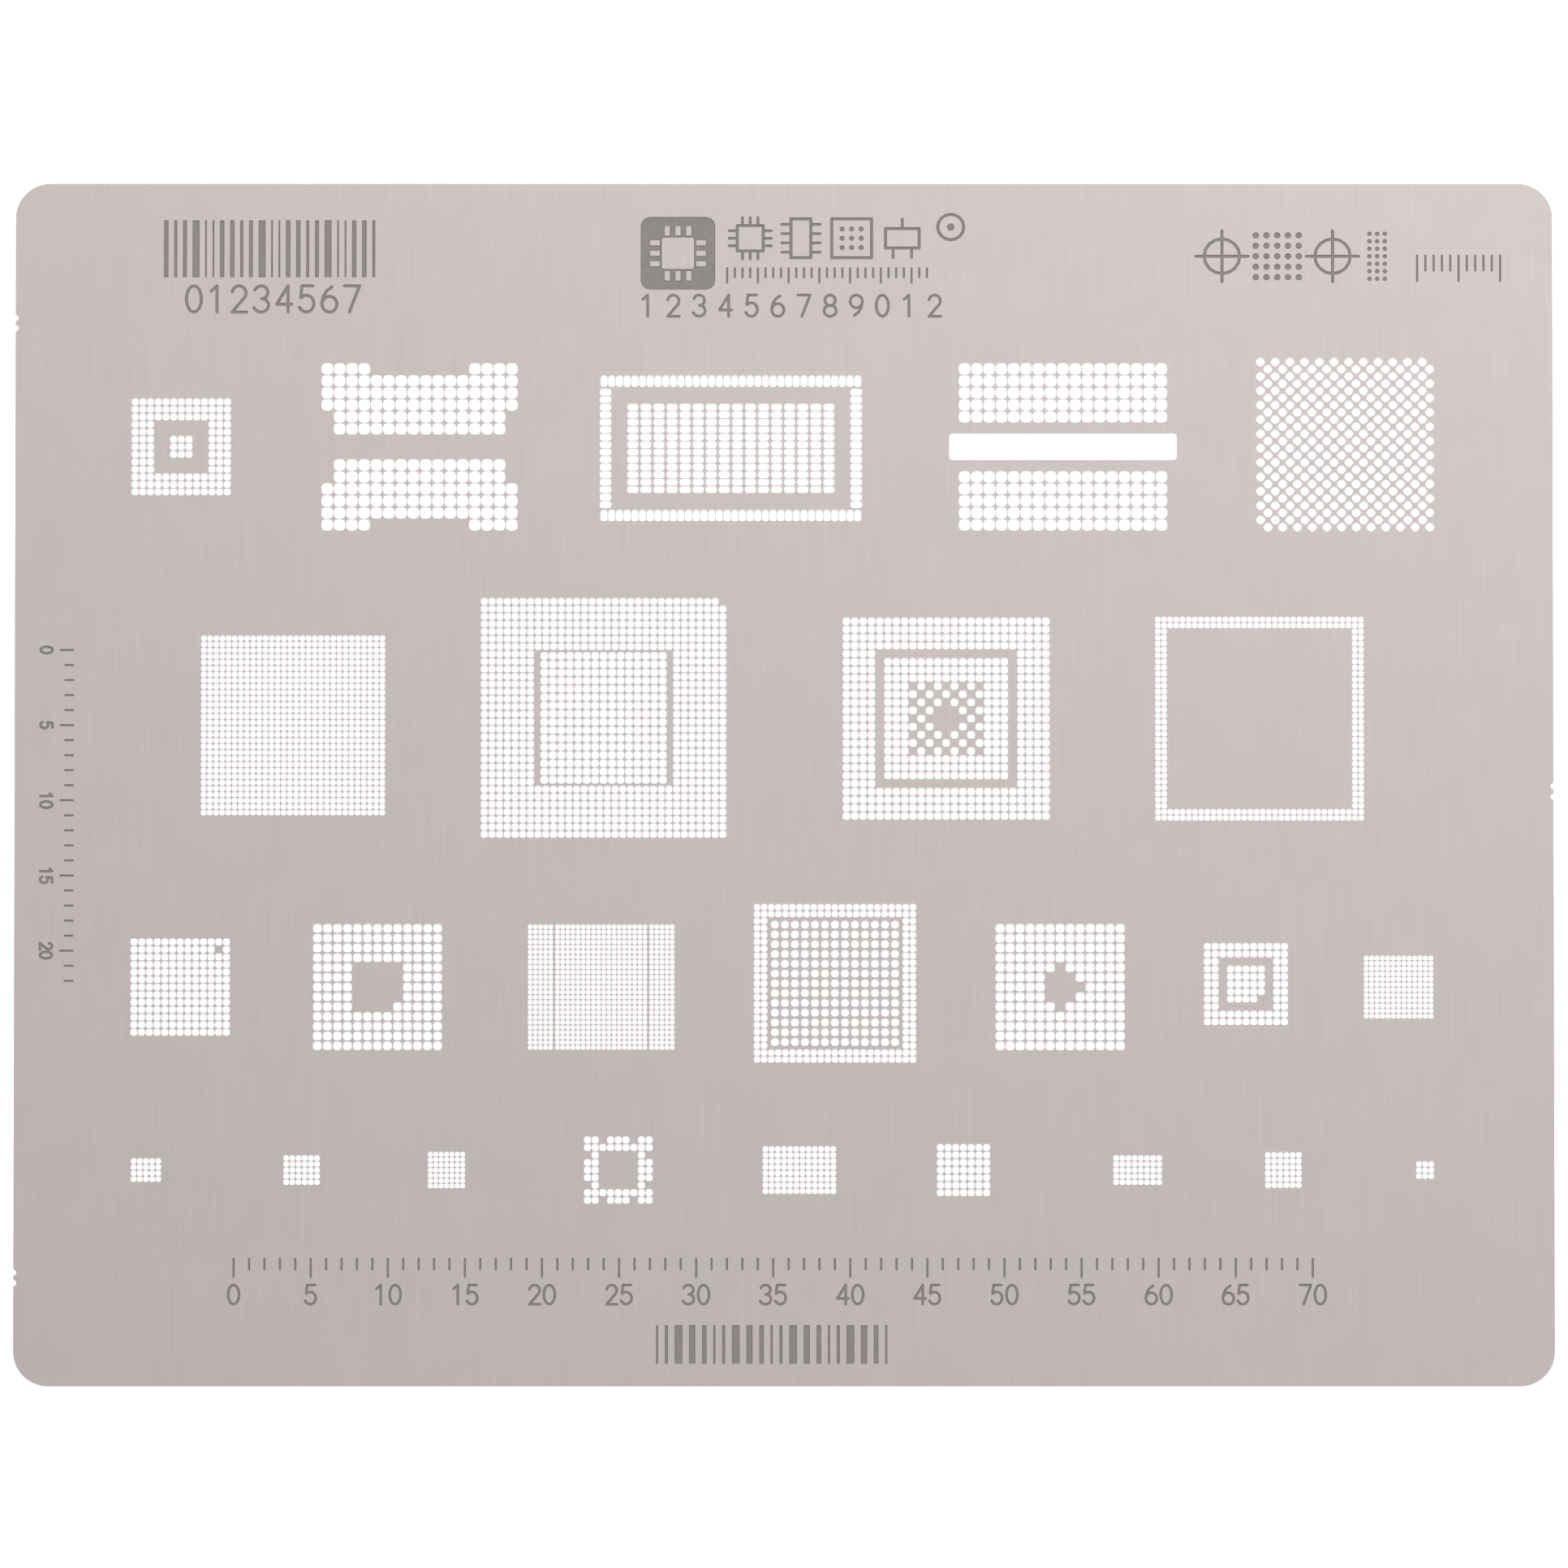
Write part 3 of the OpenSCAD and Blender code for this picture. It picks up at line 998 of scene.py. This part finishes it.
def package_marks(x: float, y: float) -> list[Mark]:
    """Four plain package outlines in a row from x: square, two-sided, dotted, three-pinned."""
    square = frame_marks(x, y, 1.7, 1.7) + pin_marks(x, y, 0.98, 0.4, 3, 0.5, range(4))
    x += 3.3
    double = frame_marks(x, y, 1.3, 2.6) + pin_marks(x, y, 0.8, 0.45, 4, 0.62, (0, 2))
    x += 3.3
    dotted = frame_marks(x, y, 2.6, 2.6) + dot_marks(x, y, 0.62, 3, 3, 0.34)
    x += 3.3
    small = frame_marks(x, y, 2.2, 1.3) + pin_marks(x, y, 0.78, 0.5, 2, 1.2, (3,))
    return square + double + dotted + small + pin_marks(x, y, 0.78, 0.5, 1, 1.0, (1,))


def badge_marks(x: float, y: float, size: float) -> list[Mark]:
    """A sunk rounded square with a plain raised package in it: a body with three pins a side."""
    made: list[Mark] = [Pad((x, y), (size, size), 0.6)]
    made.append(Pad((x, y), (2.1, 2.1), 0.15, raised=True))
    for across, along in ((1, 0), (0, 1)):
        for side in (-1, 1):
            for k in (-1, 0, 1):
                at = (x + across * side * 1.5 + along * k * 0.7,
                      y + along * side * 1.5 + across * k * 0.7)
                made.append(Pad(at, (0.34 + 0.3 * across, 0.34 + 0.3 * along), 0.05, raised=True))
    return made


def target_marks(x: float, y: float, radius: float) -> list[Mark]:
    """A ring with a cross through it, for lining a sheet up."""
    cross = (line(x - radius, y, x + radius, y), line(x, y - radius, x, y + radius))
    return ring_marks(x, y, radius * 0.68) + [Stroke(path, 0.2) for path in cross]


def mark_plates() -> list[MarkPlate]:
    """The groups of half-etched marks. All of them are generic."""
    bars = BarMarks(-40.35, -26.6, 37.55, 33.75, (0.29, 0.11, 0.45, 0.2, 0.29, 0.11, 0.26), 23)
    numerals = [m for k in range(8) for m in number(k, -38.4 + 1.47 * k, 32.3, 1.95)]
    title = badge_marks(-6.9, 35.35, 4.85) + package_marks(-2.2, 36.35)
    title += ring_marks(10.85, 37.1, 0.85) + [Pad((10.85, 37.1), (0.5, 0.5), 0.25)]
    title += RuleMarks((-3.7, 34.35), 26, 0.5, 4, 0.6, 0.95, 0.0).marks()
    for k in range(12):
        title += number((k + 1) % 10, -8.9 + 1.7 * k, 31.85, 1.6, width=0.18)
    corner = target_marks(28.5, 35.15, 1.7) + dot_marks(32.1, 35.15, 0.7, 5, 5, 0.42)
    corner += target_marks(35.7, 35.15, 1.7) + dot_marks(38.6, 35.15, 0.5, 3, 7, 0.3)
    corner += RuleMarks((41.2, 35.2), 10, 0.54, 5, 1.0, 1.7, 0.0).marks()
    side = RuleMarks((-46.2, 8.9), 22, 1.0, 5, 0.5, 0.8, 0.95, upright=True).marks()
    foot = RuleMarks((-35.7, -31.55), 70, numerals=1.45).marks()
    steps = BarMarks(-8.3, 6.7, -35.95, -38.5, (0.14, 0.5, 0.3, 0.2, 0.4), 21)
    return [
        MarkPlate("bar_marks", (-33.45, 34.4), (15.0, 7.2), bars.marks() + numerals),
        MarkPlate("title_marks", (1.2, 34.4), (22.4, 7.8), title),
        MarkPlate("corner_marks", (36.8, 35.15), (20.6, 4.6), corner),
        MarkPlate("side_rule", (-47.15, -2.1), (3.0, 24.0), side),
        MarkPlate("foot_rule", (-0.6, -33.2), (73.0, 4.2), foot),
        MarkPlate("step_bars", (-0.8, -37.2), (16.0, 3.4), steps.marks()),
    ]


# ---------------------------------------------------------------- the sheet


@dataclass
class Blank:
    """The plain sheet: rounded corners, the nicks of three snapped tabs, and a window for
    each field's open cells and each plate of marks.

    The upper and right tabs are measured from the top edge, the lower one from the bottom.
    """

    length: float
    width: float
    thickness: float
    corner: float = 2.3
    nick: float = 0.4
    stub: float = 0.3
    upper_tab: float = 9.3
    lower_tab: float = 7.2
    right_tab: float = 40.5

    def outline(self) -> Array:
        """The sheet's outline, anticlockwise, with two round nicks at each snapped tab."""
        loop = rounded_loop(self.length, self.width, self.corner, 14)
        quarter = len(loop) // 4
        top_right, top_left, low_left, low_right = (
            loop[k * quarter:(k + 1) * quarter] for k in range(4)
        )
        left, right = -self.length / 2, self.length / 2
        upper, lower = self.width / 2 - self.upper_tab, self.lower_tab - self.width / 2
        middle = self.width / 2 - self.right_tab
        return np.concatenate([
            top_right, top_left, self._tab(left, upper, -1), self._tab(left, lower, -1),
            low_left, low_right, self._tab(right, middle, 1),
        ])

    def _tab(self, x: float, y: float, way: int) -> Array:
        """Two half-round nicks in an upright edge, with a stub between them.

        Args:
            x: the edge's place.
            y: the tab's middle.
            way: 1 where the outline runs up the edge, -1 where it runs down.

        Returns:
            The points of the nicks, in the outline's order.
        """
        offset = way * (self.stub + self.nick) / 2
        angle = np.radians(np.linspace(-90, 90, 11)) * way
        bite = np.column_stack([-way * np.cos(angle), np.sin(angle)]) * self.nick / 2
        return np.concatenate([bite + [x, y - offset], bite + [x, y + offset]])

    def build(self, fields: list[tuple[ApertureField, Array]],
              plates_of_marks: list[MarkPlate]) -> bpy.types.Object:
        """Makes the blank.

        Args:
            fields: every field with its centre.
            plates_of_marks: every plate of marks.

        Returns:
            The blank's object.
        """
        loops = [self.outline()] + [p.corners() for p in plates_of_marks]
        rims = [f.loops(at) for f, at in fields]
        plan, triangles, owners = triangulated(loops, rims)
        middle = plan[triangles].mean(axis=1)
        gone = owners[:, 1:].any(axis=1)
        for f, at in fields:
            gone |= f.covers(middle, at)
        used, numbers = np.unique(triangles[~gone], return_inverse=True)
        solid = numbers.reshape(-1, 3)
        shell = Shell()
        tops = np.full(len(used), self.thickness)
        plates(plan[used], solid, tops, np.full(len(solid), Skin.FACE.value), shell)
        return shell.make("blank")


# ---------------------------------------------------------------- the studio


@dataclass(frozen=True)
class Studio:
    """A white card under the sheet, a soft lamp, and a long lens that looks down at it.

    Sizes and places are in metres, the lamp's power in watts and the lens in millimetres.
    """

    card_size: float = 6.0
    card_glow: float = 0.82
    world: float = 0.635
    lamp_power: float = 0.95
    lamp_size: float = 0.4
    lamp_place: tuple[float, float, float] = (0.12, 0.34, 0.42)
    lens: float = 1500.0
    view_width: float = 0.10187
    elevation: float = 77.6

    @staticmethod
    def _rays(tree: Any, *kinds: str) -> Any:
        """A socket that is 1 for rays of the kinds named, as Light Path calls them, else 0."""
        path = tree.nodes.new("ShaderNodeLightPath")
        found = path.outputs[kinds[0]]
        for kind in kinds[1:]:
            either = tree.nodes.new("ShaderNodeMath")
            either.operation = "MAXIMUM"
            tree.links.new(found, either.inputs[0])
            tree.links.new(path.outputs[kind], either.inputs[1])
            found = either.outputs["Value"]
        return found

    def card(self) -> bpy.types.Object:
        """The floor: it shows white, also in the steel, and keeps the sheet's shadow."""
        half = self.card_size / 2
        mesh = bpy.data.meshes.new("card")
        corners = [(-half, -half), (half, -half), (half, half), (-half, half)]
        mesh.from_pydata([(x, y, -CARD_DROP) for x, y in corners], [], [(0, 1, 2, 3)])
        made = bpy.data.materials.new("white card")
        made.use_nodes = True
        tree = made.node_tree
        matte = tree.nodes["Principled BSDF"]
        matte.inputs["Base Color"].default_value = (0.9, 0.9, 0.9, 1.0)
        matte.inputs["Roughness"].default_value = 1.0
        matte.inputs["Specular IOR Level"].default_value = 0.0
        glow = tree.nodes.new("ShaderNodeEmission")
        rays = self._rays(tree, "Is Camera Ray", "Is Glossy Ray", "Is Transmission Ray")
        level = tree.nodes.new("ShaderNodeMath")
        level.operation = "MULTIPLY"
        level.inputs[1].default_value = self.card_glow
        both = tree.nodes.new("ShaderNodeAddShader")
        tree.links.new(rays, level.inputs[0])
        tree.links.new(level.outputs["Value"], glow.inputs["Strength"])
        tree.links.new(matte.outputs["BSDF"], both.inputs[0])
        tree.links.new(glow.outputs["Emission"], both.inputs[1])
        tree.links.new(both.outputs["Shader"], tree.nodes["Material Output"].inputs["Surface"])
        mesh.materials.append(made)
        floor = bpy.data.objects.new("card", mesh)
        bpy.context.scene.collection.objects.link(floor)
        return floor

    def sky(self) -> None:
        """An even world, which camera and transmission rays see as white."""
        world = bpy.data.worlds.new("studio")
        bpy.context.scene.world = world
        world.use_nodes = True
        tree = world.node_tree
        dome = tree.nodes["Background"]
        dome.inputs["Strength"].default_value = self.world
        card = tree.nodes.new("ShaderNodeBackground")
        card.inputs["Color"].default_value = (1.0, 1.0, 1.0, 1.0)
        card.inputs["Strength"].default_value = 1.0
        dome.inputs["Color"].default_value = (1.0, 1.0, 1.0, 1.0)
        choose = tree.nodes.new("ShaderNodeMixShader")
        rays = self._rays(tree, "Is Camera Ray", "Is Transmission Ray")
        tree.links.new(rays, choose.inputs["Fac"])
        tree.links.new(dome.outputs["Background"], choose.inputs[1])
        tree.links.new(card.outputs["Background"], choose.inputs[2])
        tree.links.new(choose.outputs["Shader"], tree.nodes["World Output"].inputs["Surface"])

    def lamp(self, name: str) -> bpy.types.Object:
        """A square lamp behind the sheet, to its right, that faces the sheet's middle.

        Args:
            name: the lamp's name.

        Returns:
            The lamp's object.
        """
        data = bpy.data.lights.new(name, "AREA")
        data.size = self.lamp_size
        data.energy = self.lamp_power
        made = bpy.data.objects.new(name, data)
        bpy.context.scene.collection.objects.link(made)
        made.location = self.lamp_place
        made.rotation_euler = Vector(self.lamp_place).to_track_quat("Z", "Y").to_euler()
        return made

    def camera(self, middle: Vector) -> bpy.types.Object:
        """The camera, far out in front of the sheet and high above it.

        Args:
            middle: the point it looks at, in metres.

        Returns:
            The camera's object.
        """
        data = bpy.data.cameras.new("camera")
        data.lens = self.lens
        far = self.view_width * self.lens / data.sensor_width
        data.clip_start, data.clip_end = 0.1, 20.0
        made = bpy.data.objects.new("camera", data)
        bpy.context.scene.collection.objects.link(made)
        slope = math.radians(self.elevation)
        back = Vector((0.0, -math.cos(slope), math.sin(slope)))
        made.location = middle + back * far
        made.rotation_euler = back.to_track_quat("Z", "Y").to_euler()
        bpy.context.scene.camera = made
        return made


def main() -> None:
    """Loads the frame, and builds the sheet's pieces and the studio."""
    logging.basicConfig(level=logging.INFO, format="%(name)s: %(message)s")
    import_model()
    lowest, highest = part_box(NODE)
    length, width, thickness = (highest - lowest) / MM
    fields = Layout(length, width, field_rows()).placed()
    marks = mark_plates()
    blank = Blank(length, width, thickness)
    blank.build(fields, marks)
    for plate in marks:
        plate.build(thickness)
    for one_field, centre in fields:
        one_field.build(centre, thickness)
    studio = Studio()
    studio.card()
    studio.sky()
    studio.lamp("key lamp")
    studio.camera((lowest + highest) / 2)
    bpy.context.scene.view_settings.view_transform = "Standard"


if __name__ == "__main__":
    main()
